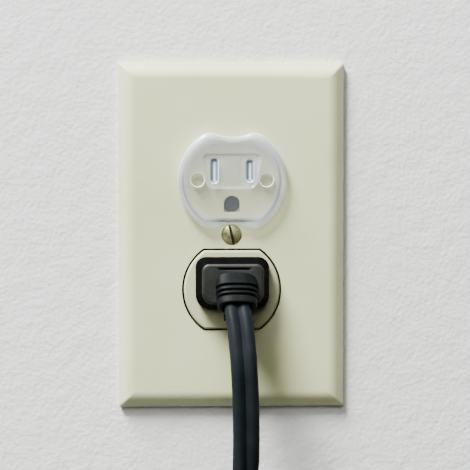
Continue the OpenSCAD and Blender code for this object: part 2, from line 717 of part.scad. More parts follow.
module cord_run() {
    last = len(cord_points) - 1;
    wide = [for (i = [0:last]) let (a = 90 * max(0, i - twist_from) / (last - twist_from)) [cos(a), sin(a), 0]];
    color("#26292d") sweep(cord_points, cord_section(12), wide);
}

module cord_coil() {
    deep = coil_turns_deep * turn_t;
    wide = coil_layers * layer_w;
    color("#26292d") translate(coil_pos) rotate([90, 0, 0]) rotate_extrude($fn = 96)
        translate([coil_r, 0]) rounded(deep, wide, 2.2);
}

module cord_tie() {
    deep = coil_turns_deep * turn_t + 2 * tie_room;
    wide = coil_layers * layer_w + 2 * tie_room;
    color("#3b3f45") translate(coil_pos) rotate([90, 0, 0]) rotate([0, 0, tie_angle]) translate([coil_r, 0, 0])
        rotate([90, 0, 0]) linear_extrude(tie_w, center = true) difference() {
            rounded(deep + 2 * tie_t, wide + 2 * tie_t, 3);
            rounded(deep, wide, 2);
        }
}

module cord_tail() {
    color("#26292d") sweep(tail_points, cord_section(12), [for (p = tail_points) [0, 1, 0]]);
}

// the far connector's frame: +Z along the lead's free end, +Y across the flat of the cord
module on_connector(along = 0) {
    translate(tail_points[len(tail_points) - 1] + (fit + along) * tail_dir) rotate([0, 180 + tail_turn, 0]) children();
}

module connector_relief() {
    color("#1f2226") on_connector() difference() {
        hull() {
            linear_extrude(0.5) rounded(cord_t + 1.6, cord_w + 1.6, 2.6);
            translate([0, 0, connector_relief_l - 0.5]) linear_extrude(0.5) rounded(cord_t + 3.8, cord_w + 3.6, 3.4);
        }
        for (i = [0:3]) translate([0, 0, 2 + 2.6 * i]) difference() {
            translate([-20, -20, 0]) cube([40, 40, 1]);
            linear_extrude(1) rounded(cord_t + 1.3 + 0.5 * i, cord_w + 1.1 + 0.5 * i, 2.4);
        }
    }
}

module connector_body() {
    nose_l = 9;
    color("#23262a") on_connector(connector_relief_l + fit) difference() {
        union() {
            linear_extrude(connector_l - nose_l) rounded(connector_t, connector_w, 3.5);
            linear_extrude(connector_l) union() {
                for (s = [-1, 1]) translate([0, s * sleeve_pitch / 2]) circle(4.1);
                square([6.6, sleeve_pitch], center = true);
            }
        }
        for (s = [-1, 1]) translate([0, s * sleeve_pitch / 2, connector_l - 16])
            cylinder(r = sleeve_r + sleeve_wall + fit, h = 20);
    }
}

module connector_sleeves() {
    color("#c9ccc9") on_connector(connector_relief_l + fit) for (s = [-1, 1])
        translate([0, s * sleeve_pitch / 2, connector_l - 15.5]) difference() {
            cylinder(r = sleeve_r + sleeve_wall, h = 14);
            translate([0, 0, 1.5]) cylinder(r = sleeve_r, h = 20);
        }
}

wall_plate();
receptacle_face();
rear_housing();
mounting_strap();
hot_contact();
neutral_contact();
ground_contact();
ground_rivets();
housing_rivets();
hot_terminal_screws();
neutral_terminal_screws();
ground_screw();
box_screws();
screw_retainers();
plate_screw();
safety_cap();
plug_body();
blade_carrier();
hot_blade();
neutral_blade();
blade_crimps();
plug_wires();
strain_relief();
cord_run();
cord_coil();
cord_tie();
cord_tail();
connector_relief();
connector_body();
connector_sleeves();
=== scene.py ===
import math

import bmesh
import bpy
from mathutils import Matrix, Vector


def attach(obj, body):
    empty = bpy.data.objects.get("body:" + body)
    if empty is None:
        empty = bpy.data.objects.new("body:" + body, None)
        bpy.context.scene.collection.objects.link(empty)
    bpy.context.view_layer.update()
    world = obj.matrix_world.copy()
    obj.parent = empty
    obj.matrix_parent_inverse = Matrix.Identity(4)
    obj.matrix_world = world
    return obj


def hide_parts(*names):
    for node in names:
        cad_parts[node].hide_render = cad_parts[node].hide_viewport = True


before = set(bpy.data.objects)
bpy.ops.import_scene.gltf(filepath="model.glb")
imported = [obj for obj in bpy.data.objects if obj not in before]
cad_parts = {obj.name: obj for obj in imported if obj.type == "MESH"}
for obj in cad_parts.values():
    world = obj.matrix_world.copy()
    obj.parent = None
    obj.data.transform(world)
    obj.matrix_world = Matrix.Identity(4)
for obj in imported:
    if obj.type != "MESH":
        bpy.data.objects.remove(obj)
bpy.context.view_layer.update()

# --- View ---
# A long lens half a metre off, a little to the left of the outlet and a little above it,
# aimed just beside the plate screw. It takes in the plate and the first stretch of the cord.
MM = 0.001
aim = Vector((1.16, -5.6, 0.07)) * MM
view_distance = 0.55
view_left = math.radians(2.5)
view_above = math.radians(1.9)
camera = bpy.data.objects.new("view", bpy.data.cameras.new("view"))
camera.location = aim + view_distance * Vector((
    -math.sin(view_left) * math.cos(view_above),
    -math.cos(view_left) * math.cos(view_above),
    math.sin(view_above)))
camera.rotation_euler = (aim - camera.location).to_track_quat("-Z", "Y").to_euler()
camera.data.sensor_width = 36
camera.data.lens = 117.7
camera.data.clip_start = 0.01
bpy.context.scene.collection.objects.link(camera)
bpy.context.scene.camera = camera


# --- Wall and light ---
# The wall is emulsion paint put on with a roller, which leaves a fine, shallow stipple.
# It is only a backdrop, seen from the room side, with a hole behind the plate where a near-black sheet paints
# the shade inside the wall box.
def new_material(name):
    material = bpy.data.materials.new(name)
    material.use_nodes = True
    material.node_tree.nodes.clear()
    nodes = material.node_tree.nodes
    surface = nodes.new("ShaderNodeBsdfPrincipled")
    output = nodes.new("ShaderNodeOutputMaterial")
    material.node_tree.links.new(surface.outputs["BSDF"], output.inputs["Surface"])
    return material, surface


def place_noise(material, scale, detail=4.0, stretch=(1, 1, 1)):
    """Noise fixed to the object's own coordinates, in waves per metre."""
    nodes, links = material.node_tree.nodes, material.node_tree.links
    where = nodes.new("ShaderNodeTexCoord")
    mapping = nodes.new("ShaderNodeMapping")
    mapping.inputs["Scale"].default_value = stretch
    noise = nodes.new("ShaderNodeTexNoise")
    noise.inputs["Scale"].default_value = scale
    noise.inputs["Detail"].default_value = detail
    links.new(where.outputs["Object"], mapping.inputs["Vector"])
    links.new(mapping.outputs["Vector"], noise.inputs["Vector"])
    return noise


def mottle(material, surface, colours, scale, low=0.35, high=0.65, stretch=(1, 1, 1)):
    """Colour that drifts between two or more tones."""
    nodes, links = material.node_tree.nodes, material.node_tree.links
    noise = place_noise(material, scale, 3.0, stretch)
    ramp = nodes.new("ShaderNodeValToRGB")
    while len(ramp.color_ramp.elements) < len(colours):
        ramp.color_ramp.elements.new(0.5)
    for i, colour in enumerate(colours):
        element = ramp.color_ramp.elements[i]
        element.position = low + (high - low) * i / (len(colours) - 1)
        element.color = (*colour, 1)
    links.new(noise.outputs["Fac"], ramp.inputs["Fac"])
    links.new(ramp.outputs["Color"], surface.inputs["Base Color"])
    return ramp


def vary_roughness(material, surface, low, high, scale):
    nodes, links = material.node_tree.nodes, material.node_tree.links
    noise = place_noise(material, scale, 3.0)
    spread = nodes.new("ShaderNodeMapRange")
    spread.inputs["From Min"].default_value = 0.3
    spread.inputs["From Max"].default_value = 0.7
    spread.inputs["To Min"].default_value = low
    spread.inputs["To Max"].default_value = high
    links.new(noise.outputs["Fac"], spread.inputs["Value"])
    links.new(spread.outputs["Result"], surface.inputs["Roughness"])


def grain(material, surface, scale, depth, detail=3.0, stretch=(1, 1, 1)):
    """Small relief of the surface; depth is in metres."""
    nodes, links = material.node_tree.nodes, material.node_tree.links
    noise = place_noise(material, scale, detail, stretch)
    bump = nodes.new("ShaderNodeBump")
    bump.inputs["Distance"].default_value = depth
    bump.inputs["Strength"].default_value = 1.0
    if surface.inputs["Normal"].is_linked:
        links.new(surface.inputs["Normal"].links[0].from_socket, bump.inputs["Normal"])
    links.new(noise.outputs["Fac"], bump.inputs["Height"])
    links.new(bump.outputs["Normal"], surface.inputs["Normal"])


def depth_ramp(material, near, far, stops):
    """Colours set by how deep into the wall a point lies, from near to far.

    Depths are in millimetres, and each stop is (depth, colour).
    """
    nodes, links = material.node_tree.nodes, material.node_tree.links
    where = nodes.new("ShaderNodeTexCoord")
    split = nodes.new("ShaderNodeSeparateXYZ")
    spread = nodes.new("ShaderNodeMapRange")
    spread.inputs["From Min"].default_value = near * MM
    spread.inputs["From Max"].default_value = far * MM
    ramp = nodes.new("ShaderNodeValToRGB")
    while len(ramp.color_ramp.elements) < len(stops):
        ramp.color_ramp.elements.new(0.5)
    for element, (depth, colour) in zip(ramp.color_ramp.elements, stops):
        element.position = (depth - near) / (far - near)
        element.color = (*colour, 1) if isinstance(colour, tuple) else (colour, colour, colour, 1)
    links.new(where.outputs["Object"], split.inputs["Vector"])
    links.new(split.outputs["Y"], spread.inputs["Value"])
    links.new(spread.outputs["Result"], ramp.inputs["Fac"])
    return ramp


def multiply_colour(material, surface, factor):
    """Multiplies the base colour by what comes out of a socket."""
    nodes, links = material.node_tree.nodes, material.node_tree.links
    mix = nodes.new("ShaderNodeMix")
    mix.data_type = "RGBA"
    mix.blend_type = "MULTIPLY"
    mix.inputs[0].default_value = 1.0
    links.new(surface.inputs["Base Color"].links[0].from_socket, mix.inputs[6])
    links.new(factor, mix.inputs[7])
    links.new(mix.outputs[2], surface.inputs["Base Color"])


def tint_by_depth(material, surface, near, far, stops):
    """Multiplies the base colour by a depth ramp."""
    ramp = depth_ramp(material, near, far, stops)
    multiply_colour(material, surface, ramp.outputs["Color"])


def srgb(red, green, blue):
    """A colour as a painter's card gives it, 0 to 255, turned into light."""
    return tuple((v / 255 / 12.92) if v / 255 <= 0.04045 else ((v / 255 + 0.055) / 1.055) ** 2.4
                 for v in (red, green, blue))


wall_paint, surface = new_material("wall_paint")
mottle(wall_paint, surface, [srgb(217, 219, 221), srgb(223, 225, 227)], 6)
surface.inputs["Roughness"].default_value = 0.75
grain(wall_paint, surface, 620, 0.00028, 3)
grain(wall_paint, surface, 150, 0.0004, 2)
nodes, links = wall_paint.node_tree.nodes, wall_paint.node_tree.links
side = nodes.new("ShaderNodeNewGeometry")
clear = nodes.new("ShaderNodeBsdfTransparent")
either = nodes.new("ShaderNodeMixShader")
output = next(n for n in nodes if n.type == "OUTPUT_MATERIAL")
ray = nodes.new("ShaderNodeLightPath")
both = nodes.new("ShaderNodeMath")
both.operation = "MULTIPLY"
links.new(side.outputs["Backfacing"], both.inputs[0])
links.new(ray.outputs["Is Camera Ray"], both.inputs[1])
links.new(both.outputs["Value"], either.inputs["Fac"])
links.new(surface.outputs["BSDF"], either.inputs[1])
links.new(clear.outputs["BSDF"], either.inputs[2])
links.new(either.outputs["Shader"], output.inputs["Surface"])


def flat_frame(name, y, outer, inner=None):
    """A sheet facing the room, with a rectangular hole if inner is given.

    Sizes are half widths and half heights in metres, and y is in millimetres.
    """
    edges = [outer, inner] if inner else [outer]
    corners = [(x * w, y * MM, z * h) for w, h in edges for x, z in ((-1, -1), (1, -1), (1, 1), (-1, 1))]
    faces = [(i, (i + 1) % 4, 4 + (i + 1) % 4, 4 + i) for i in range(4)] if inner else [(0, 1, 2, 3)]
    mesh = bpy.data.meshes.new(name)
    mesh.from_pydata(corners, [], faces)
    return mesh


wall_mesh = flat_frame("wall", 0.05, (1.6, 1.6), (0.0375, 0.059))
wall = bpy.data.objects.new("wall", wall_mesh)
wall.data.materials.append(wall_paint)
bpy.context.scene.collection.objects.link(wall)
# A near-black copy of the wall paint makes a sheet in that hole: painted shade standing for the dark inside
# of the wall box.
box_shade = wall_paint.copy()
box_shade.name = "wall_box_shade"
shade = next(n for n in box_shade.node_tree.nodes if n.type == "BSDF_PRINCIPLED")
for link in list(shade.inputs["Base Color"].links):
    box_shade.node_tree.links.remove(link)
shade.inputs["Base Color"].default_value = (0.01, 0.009, 0.008, 1)
wall_mesh = flat_frame("painted_box_shade_sheet", 0.03, (0.0215, 0.0385))
opening = bpy.data.objects.new("painted_box_shade_sheet", wall_mesh)
opening.data.materials.append(box_shade)
bpy.context.scene.collection.objects.link(opening)


def soft_light(name, place, size, power, colour=(1, 1, 1)):
    lamp = bpy.data.lights.new(name, "AREA")
    lamp.shape = "DISK"
    lamp.size = size
    lamp.energy = power
    lamp.color = colour
    holder = bpy.data.objects.new(name, lamp)
    holder.location = place
    holder.rotation_euler = (-Vector(place)).to_track_quat("-Z", "Y").to_euler()
    bpy.context.scene.collection.objects.link(holder)


soft_light("window", (-0.71, -0.79, 1.42), 0.66, 120, (0.985, 0.99, 0.94))
soft_light("room", (-0.5, -1.8, 1.2), 2.2, 40, (1.0, 0.95, 0.86))
soft_light("skylight", (-0.8, -0.24, 1.8), 0.7, 96, (0.97, 0.98, 0.99))
soft_light("from_behind", (0.5, 1.4, 0.9), 1.2, 20)
world = bpy.data.worlds.new("room")
world.use_nodes = True
room = next(n for n in world.node_tree.nodes if n.type == "BACKGROUND")
room.inputs["Color"].default_value = (0.80, 0.83, 0.86, 1)
room.inputs["Strength"].default_value = 0.04
bpy.context.scene.world = world


# --- Wall plate ---
# A mid-size plate moulded in light ivory thermoset. Its edge slopes and rolls softly into the flat front,
# with mitred corners. It has an opening for each socket face, and a countersunk hole in a boss for one screw.
def ring_of(bm, points):
    return [bm.verts.new(p) for p in points]


def run_wall(bm, ring, outlines):
    """Carries a ring of vertices through the given outlines, and gives back the last ring."""
    for points in outlines:
        following = ring_of(bm, points)
        for j in range(len(ring)):
            k = (j + 1) % len(ring)
            bm.faces.new((ring[j], ring[k], following[k], following[j]))
        ring = following
    return ring


def close_between(bm, *rings):
    """A flat web between one outer ring and the holes inside it."""
    edges = []
    for ring in rings:
        for j in range(len(ring)):
            pair = (ring[j], ring[(j + 1) % len(ring)])
            edges.append(bm.edges.get(pair) or bm.edges.new(pair))
    bmesh.ops.triangle_fill(bm, use_beauty=True, edges=edges)


def moulded(bm, name, body, material, nodes_replaced=(), crease=32):
    """Turns a finished mesh into a piece: shading, material, the body it rides on, and hiding the nodes it
    replaces.
    """
    bmesh.ops.recalc_face_normals(bm, faces=bm.faces)
    mesh = bpy.data.meshes.new(name)
    bm.to_mesh(mesh)
    bm.free()
    mesh.polygons.foreach_set("use_smooth", [True] * len(mesh.polygons))
    mesh.set_sharp_from_angle(angle=math.radians(crease))
    piece = bpy.data.objects.new(name, mesh)
    piece.data.materials.append(material)
    bpy.context.scene.collection.objects.link(piece)
    even = piece.modifiers.new("even_shading", "WEIGHTED_NORMAL")
    even.keep_sharp = True
    even.weight = 90
    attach(piece, body)
    if nodes_replaced:
        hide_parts(*nodes_replaced)
    return piece


def rounded_box(w, h, r, y, steps=5, centre=(0, 0)):
    """Outline of a rounded rectangle in the plane of the wall at depth y; sizes in millimetres."""
    points = []
    for x, z, start in ((1, 1, 0), (-1, 1, 90), (-1, -1, 180), (1, -1, 270)):
        for i in range(steps + 1):
            a = math.radians(start + 90 * i / steps)
            points.append(Vector((centre[0] + x * (w / 2 - r) + r * math.cos(a), y,
                                  centre[1] + z * (h / 2 - r) + r * math.sin(a))) * MM)
    return points


def round_hole(x, z, r, y, steps=40):
    return [Vector((x + r * math.cos(2 * math.pi * i / steps), y,
                    z + r * math.sin(2 * math.pi * i / steps))) * MM for i in range(steps)]


def socket_outline(r, flat, y, z, steps=22):
    """A circle of radius r with its top and bottom cut flat, z above the plate's middle."""
    reach = math.degrees(math.asin(flat / r))
    points = []
    for start in (-reach, 180 - reach):
        for i in range(steps + 1):
            a = math.radians(start + 2 * reach * i / steps)
            points.append(Vector((r * math.cos(a), y, z + r * math.sin(a))) * MM)
    return points


plate_w, plate_h, plate_d, plate_wall = 81.0, 123.8, 5.6, 2.0
slope_w, roll_w, slope_angle = 2.6, 3.3, math.radians(36)
socket_z = (19.45, -19.45)
opening_r, opening_flat = 17.83, 14.68
roll_r = roll_w / math.sin(slope_angle)
roll_top = roll_r * (1 - math.cos(slope_angle))
rim_d = plate_d - slope_w * math.tan(slope_angle) - roll_top
edge = [(0, 0), (0, rim_d - 0.45), (0.06, rim_d - 0.2), (0.25, rim_d + 0.02), (0.5, rim_d + 0.21)]
edge.append((slope_w - 0.2, rim_d + (slope_w - 0.2) * math.tan(slope_angle)))
for i in range(9):
    a = slope_angle * (1 - i / 8)
    edge.append((slope_w + roll_w - roll_r * math.sin(a), plate_d - roll_r * (1 - math.cos(a))))
edge.append((slope_w + roll_w + 0.3, plate_d))


def plate_ring(inset, depth):
    return rounded_box(plate_w - 2 * inset, plate_h - 2 * inset, 0.7, -depth)


bm = bmesh.new()
rim = ring_of(bm, plate_ring(*edge[0]))
front = run_wall(bm, rim, [plate_ring(*p) for p in edge[1:]])
inside = [(plate_wall, 0), (plate_wall, rim_d - plate_wall), (plate_wall + slope_w, rim_d - 0.4),
          (8, plate_d - plate_wall)]
inner_rim = ring_of(bm, plate_ring(*inside[0]))
close_between(bm, rim, inner_rim)
back = run_wall(bm, inner_rim, [plate_ring(*p) for p in inside[1:]])
front_holes, back_holes = [], []
for z in socket_z:
    lip = [(0.14, plate_d), (0.04, plate_d - 0.04), (0, plate_d - 0.14), (0, plate_d - plate_wall)]
    outlines = [socket_outline(opening_r + grow, opening_flat + grow, -depth, z) for grow, depth in lip]
    ring = ring_of(bm, outlines[0])
    front_holes.append(ring)
    back_holes.append(run_wall(bm, ring, outlines[1:]))
ring = ring_of(bm, round_hole(0, 0, 3.78, -plate_d))
front_holes.append(ring)
countersink = ((3.68, plate_d - 0.08), (3.65, plate_d - 0.3), (2.1, plate_d - 2.15), (2.1, 1.7))
boss = ((4.3, 1.7), (4.5, 1.9), (4.5, 3.6))
back_holes.append(run_wall(bm, ring, [round_hole(0, 0, r, -depth) for r, depth in countersink + boss]))
close_between(bm, front, *front_holes)
close_between(bm, back, *back_holes)

ivory, surface = new_material("ivory_moulding")
mottle(ivory, surface, [srgb(191, 196, 154), srgb(197, 202, 161), srgb(202, 207, 168)], 22, 0.3, 0.7)
vary_roughness(ivory, surface, 0.36, 0.5, 40)
grain(ivory, surface, 900, 0.00005, 2)
grain(ivory, surface, 60, 0.00012, 2)
surface.inputs["Specular IOR Level"].default_value = 0.45
moulded(bm, "ivory_wall_plate", "outlet", ivory, ["wall_plate"])


# --- Socket faces ---
# The front half of the receptacle: two round faces with flats, moulded in one with the cover behind them.
# The edges of the faces and of the slots are broken, so they catch the light.
def dress(node, material, edge_round=0.0, segments=2, crease=30):
    """Gives a node its finish, and breaks its sharp edges."""
    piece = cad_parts[node]
    piece.data.materials.clear()
    piece.data.materials.append(material)
    if edge_round:
        join = piece.modifiers.new("join", "WELD")
        join.merge_threshold = 0.000002
        rounding = piece.modifiers.new("edges", "BEVEL")
        rounding.width = edge_round * MM
        rounding.segments = segments
        rounding.limit_method = "ANGLE"
        rounding.angle_limit = math.radians(crease)
        rounding.harden_normals = True
        rounding.use_clamp_overlap = True
    return piece


def slot_ring(grow, depth, side, z, height):
    return rounded_box(2.0 + 2 * grow, height + 2 * grow, 0.15 + grow, -depth, 4, (side * 6.35, z + 3.75))


def ground_ring(grow, depth, z):
    """The ground hole: a round top over a square foot."""
    r, foot = 2.8 + grow, 3.0 + grow
    points = [(r * math.cos(math.pi * i / 16), r * math.sin(math.pi * i / 16)) for i in range(17)]
    points += [(-r, -foot + 0.2), (-r + 0.2, -foot), (r - 0.2, -foot), (r, -foot + 0.2)]
    return [Vector((x, -depth, z - 8.15 + h)) * MM for x, h in points]


bm = bmesh.new()
plinth_w, plinth_h, plinth_r = 33, 69, 2.5
plinth_d, cover_back = 3.1, 1.25
face_r, face_flat, edge_r = 17.22, 14.12, 0.85


def plinth_ring(inset, depth):
    return rounded_box(plinth_w - 2 * inset, plinth_h - 2 * inset, plinth_r - inset, -depth, 6)


plinth_rim = ring_of(bm, plinth_ring(0, cover_back))
plinth_front = run_wall(bm, plinth_rim, [plinth_ring(*p) for p in (
    (0, plinth_d - 0.25), (0.08, plinth_d - 0.06), (0.3, plinth_d))])
front_holes, back_holes = [], []
lip = [(0.22, 6.6), (0.07, 6.56), (0, 6.4), (0, cover_back)]
for z in socket_z:
    turned = [(0.1 + (1 - math.cos(t)) * edge_r, 5.75 + edge_r * math.sin(t))
              for t in (math.pi / 2 * i / 7 for i in range(8))]
    foot = ring_of(bm, socket_outline(face_r - 0.1, face_flat - 0.1, -plinth_d, z))
    front_holes.append(foot)
    face_edge = run_wall(bm, foot, [socket_outline(face_r - 0.1, face_flat - 0.1, -5.5, z)]
                         + [socket_outline(face_r - i, face_flat - i, -d, z) for i, d in turned])
    slots = []
    for side, height in ((-1, 8.2), (1, 7.0)):
        ring = ring_of(bm, slot_ring(*lip[0], side, z, height))
        slots.append(ring)
        back_holes.append(run_wall(bm, ring, [slot_ring(*p, side, z, height) for p in lip[1:]]))
    ring = ring_of(bm, ground_ring(*lip[0], z))
    slots.append(ring)
    back_holes.append(run_wall(bm, ring, [ground_ring(*p, z) for p in lip[1:]]))
    close_between(bm, face_edge, *slots)
for x, r in ((0, 5.6), (-11, 1.56), (11, 1.56)):
    ring = ring_of(bm, round_hole(x, 0, r, -plinth_d))
    front_holes.append(ring)
    back_holes.append(run_wall(bm, ring, [round_hole(x, 0, r, -cover_back)]))
close_between(bm, plinth_front, *front_holes)
close_between(bm, plinth_rim, *back_holes)
face_plastic, surface = new_material("face_moulding")
mottle(face_plastic, surface, [srgb(166, 169, 134), srgb(173, 176, 142), srgb(180, 183, 150)], 30)
vary_roughness(face_plastic, surface, 0.3, 0.4, 60)
grain(face_plastic, surface, 1200, 0.00003, 2)
# Deeper than the face fronts the moulding is painted almost black: painted shade in the gap round the faces,
# on the cover between them and down the slots.
tint_by_depth(face_plastic, surface, -6.6, -3.0, [
    (-6.6, 1.0), (-5.7, 1.0), (-4.9, (0.12, 0.10, 0.08)), (-3.0, (0.05, 0.04, 0.03))])
moulded(bm, "socket_faces", "outlet", face_plastic, ["receptacle_face"], 40)


# --- Contacts, strap and screws ---
# Behind the faces: a thermoset housing, a zinc-plated steel strap, stamped contact strips that grip the
# blades, brass screws on the hot side and nickel-plated ones on the neutral side, and a green ground screw.
def metal(name, colour, roughness, marks, stretch=(1, 1, 1), tarnish=None, depth=0.00002):
    """Bare or plated metal: fine rolling or turning marks, and a little tarnish."""
    material, surface = new_material(name)
    surface.inputs["Metallic"].default_value = 1.0
    dull = tarnish or tuple(0.8 * v for v in colour)
    mottle(material, surface, [dull, colour, colour], 160, 0.25, 0.6)
    vary_roughness(material, surface, roughness * 0.8, roughness * 1.3, 220)
    grain(material, surface, marks, depth, 2, stretch)
    return material


thermoset, surface = new_material("housing_thermoset")
mottle(thermoset, surface, [srgb(150, 146, 132), srgb(160, 156, 142), srgb(166, 162, 149)], 55)
vary_roughness(thermoset, surface, 0.42, 0.6, 120)
grain(thermoset, surface, 1500, 0.00006, 3)
dress("rear_housing", thermoset, 0.25, 2)

zinc = metal("zinc_plate", (0.62, 0.64, 0.66), 0.32, 900, (1, 1, 8), (0.48, 0.50, 0.50))
brass = metal("stamped_brass", (0.80, 0.60, 0.28), 0.28, 900, (1, 1, 6), (0.56, 0.40, 0.17))
nickel = metal("nickel_plate", (0.70, 0.69, 0.66), 0.25, 1100, (1, 1, 6), (0.55, 0.54, 0.50))
green = metal("green_passivate", (0.06, 0.30, 0.13), 0.34, 800, (1, 1, 1), (0.03, 0.17, 0.08))
dress("mounting_strap", zinc, 0.12, 2)
dress("hot_contact", brass, 0.08, 2)
dress("neutral_contact", nickel, 0.08, 2)
dress("ground_contact", brass, 0.06, 1)
dress("ground_rivets", brass, 0.12, 2)
dress("housing_rivets", zinc, 0.15, 2)
dress("hot_terminal_screws", brass, 0.15, 3)
dress("neutral_terminal_screws", nickel, 0.15, 3)
dress("ground_screw", green, 0.15, 3)
dress("box_screws", nickel, 0.12, 2)

fibre, surface = new_material("washer_fibre")
mottle(fibre, surface, [srgb(112, 52, 38), srgb(134, 68, 50)], 500)
vary_roughness(fibre, surface, 0.65, 0.85, 400)
grain(fibre, surface, 2500, 0.00005, 4, (1, 0.2, 1))
dress("screw_retainers", fibre)


# --- Plate screw ---
# An oval-head steel screw with a straight slot, enamelled to go with the plate. The enamel is worn and
# half metallic, so it looks darker than the plate, and the slot is painted nearly black as painted shade.
screw_enamel, surface = new_material("worn_screw_enamel")
mottle(screw_enamel, surface, [srgb(88, 90, 56), srgb(140, 142, 98), srgb(168, 170, 128)], 420, 0.3, 0.7)
surface.inputs["Metallic"].default_value = 0.55
vary_roughness(screw_enamel, surface, 0.22, 0.42, 600)
grain(screw_enamel, surface, 1800, 0.00004, 2)
# Near the slot's middle line the colour is cut to a tenth: painted shade in the slot.
nodes, links = screw_enamel.node_tree.nodes, screw_enamel.node_tree.links
where = nodes.new("ShaderNodeTexCoord")
turned = nodes.new("ShaderNodeMapping")
turned.inputs["Rotation"].default_value = (0, math.radians(13), 0)
across = nodes.new("ShaderNodeSeparateXYZ")
width = nodes.new("ShaderNodeMath")
width.operation = "ABSOLUTE"
painted_slot_shade = nodes.new("ShaderNodeMapRange")
painted_slot_shade.inputs["From Min"].default_value = 0.42 * MM
painted_slot_shade.inputs["From Max"].default_value = 0.5 * MM
painted_slot_shade.inputs["To Min"].default_value = 0.1
links.new(where.outputs["Object"], turned.inputs["Vector"])
links.new(turned.outputs["Vector"], across.inputs["Vector"])
links.new(across.outputs["X"], width.inputs[0])
links.new(width.outputs["Value"], painted_slot_shade.inputs["Value"])
multiply_colour(screw_enamel, surface, painted_slot_shade.outputs["Result"])
dress("plate_screw", screw_enamel, 0.12, 3)


# --- Safety cap ---
# A push-in cover moulded in clear, slightly cloudy plastic. Its rim is rolled and has a shallow hollow top
# and bottom, two prongs fill the blade slots, and a pair of finger recesses and two round holes go with them.
cap_w, cap_h, cap_d, cap_corner, cap_hollow = 39.0, 34.1, 3.8, 6.0, 1.4
cap_z = socket_z[0]
blade_x, slot_up = 6.35, 3.75
band_up, hole_x, hole_up = 3.4, 12.3, 0.3
band_floor_d, finger_floor_d, cavity_depth = cap_d - 0.64, cap_d - 0.9, 1.15


def cap_outline(inset, depth):
    """Side arcs, four rounded corners and the two hollows, inset from the rim."""
    side_r = cap_w / 2
    corner_z = cap_h / 2 - cap_corner
    corner_a = math.asin(corner_z / (side_r - cap_corner))
    corner_x = (side_r - cap_corner) * math.cos(corner_a)
    drop = cap_h / 2 - cap_hollow - corner_z
    hollow_r = (corner_x ** 2 + drop ** 2 - cap_corner ** 2) / (2 * (cap_corner - drop))
    hollow_z = cap_h / 2 - cap_hollow + hollow_r
    join_a = math.atan2(hollow_z - corner_z, -corner_x)

    def arc(cx, cz, r, a, b, n):
        turns = [a + (b - a) * i / n for i in range(n)]
        return [(cx + r * math.cos(t), cz + r * math.sin(t)) for t in turns]

    quarter = arc(0, 0, side_r - inset, 0, corner_a, 8)
    quarter += arc(corner_x, corner_z, cap_corner - inset, corner_a, join_a, 12)
    quarter += arc(0, hollow_z, hollow_r + inset, math.pi + join_a, 1.5 * math.pi, 8)
    quarter.append((0, hollow_z - hollow_r - inset))
    half = quarter + [(-x, z) for x, z in reversed(quarter[1:-1])]
    whole = half + [(-x, -z) for x, z in half]
    return [Vector((x, -plate_d - depth, cap_z + z)) * MM for x, z in whole]


def band_outline(grow, depth):
    """The wide recess that runs across both slots; its ends lean in a little towards the bottom."""
    middle = cap_z + band_up
    points = rounded_box(18.7 + 2 * grow, 11.9 + 2 * grow, 2.0 + grow, -plate_d - depth, 6, (0, middle))
    return [Vector((p.x * (1 + 0.12 * (p.z / MM - middle) / 6), p.y, p.z)) for p in points]


bm = bmesh.new()
roll_in, roll_down = 2.4, 1.6
roll = [(roll_in * (1 - math.cos(t)), cap_d - roll_down + roll_down * math.sin(t))
        for t in (math.pi / 2 * i / 9 for i in range(10))]
rim = ring_of(bm, cap_outline(0, 0.1))
front = run_wall(bm, rim, [cap_outline(0, 0.9)] + [cap_outline(*p) for p in roll] + [cap_outline(2.9, cap_d)])
band = ring_of(bm, band_outline(0.75, cap_d))
holes = [band]
floor_holes = []
for side in (-1, 1):
    def through_hole(r, depth):
        return round_hole(side * hole_x, cap_z + hole_up, r, -plate_d - depth)

    ring = ring_of(bm, through_hole(2.62, cap_d))
    holes.append(ring)
    floor_holes.append(run_wall(bm, ring, [through_hole(*p) for p in (
        (2.42, cap_d - 0.06), (2.32, cap_d - 0.25), (2.3, cap_d - 0.8), (2.3, cavity_depth))]))
close_between(bm, front, *holes)
band_floor = run_wall(bm, band, [band_outline(*p) for p in (
    (0.5, cap_d - 0.03), (0.25, cap_d - 0.1), (0, cap_d - 0.24), (-0.25, cap_d - 0.4), (-0.5, cap_d - 0.54),
    (-0.75, cap_d - 0.62), (-1.0, band_floor_d))])
finger_rings = []
for side, slot_h in ((-1, 7.9), (1, 7.0)):
    def finger(grow, depth):
        middle = (side * 6.0, cap_z + band_up)
        return rounded_box(6.6 + 2 * grow, 10.0 + 2 * grow, 1.8 + grow, -plate_d - depth, 6, middle)

    def pocket(grow, depth):
        middle = (side * blade_x, cap_z + slot_up - 0.2)
        return rounded_box(1.9 + 2 * grow, slot_h + 2 * grow, 0.85 + grow, -plate_d - depth, 6, middle)

    ring = ring_of(bm, finger(0.45, band_floor_d))
    finger_rings.append(ring)
    finger_floor = run_wall(bm, ring, [finger(*p) for p in (
        (0.2, cap_d - 0.67), (0, cap_d - 0.75), (-0.2, cap_d - 0.85), (-0.45, finger_floor_d))])
    lip = ring_of(bm, pocket(0.75, finger_floor_d))
    close_between(bm, finger_floor, lip)
    bm.faces.new(run_wall(bm, lip, [pocket(*p) for p in (
        (0.62, cap_d - 0.98), (0.45, cap_d - 1.12), (0.35, cap_d - 1.3), (-0.4, cap_d - 1.7),
        (-0.55, cap_d - 1.95), (-0.65, cap_d - 2.0))]))
close_between(bm, band_floor, *finger_rings)
cavity = ring_of(bm, socket_outline(17.5, 14.4, -plate_d - 0.1, cap_z))
close_between(bm, rim, cavity)
cavity_floor = run_wall(bm, cavity, [socket_outline(17.5, 14.4, -plate_d - cavity_depth + 0.3, cap_z),
                                     socket_outline(17.2, 14.1, -plate_d - cavity_depth, cap_z)])
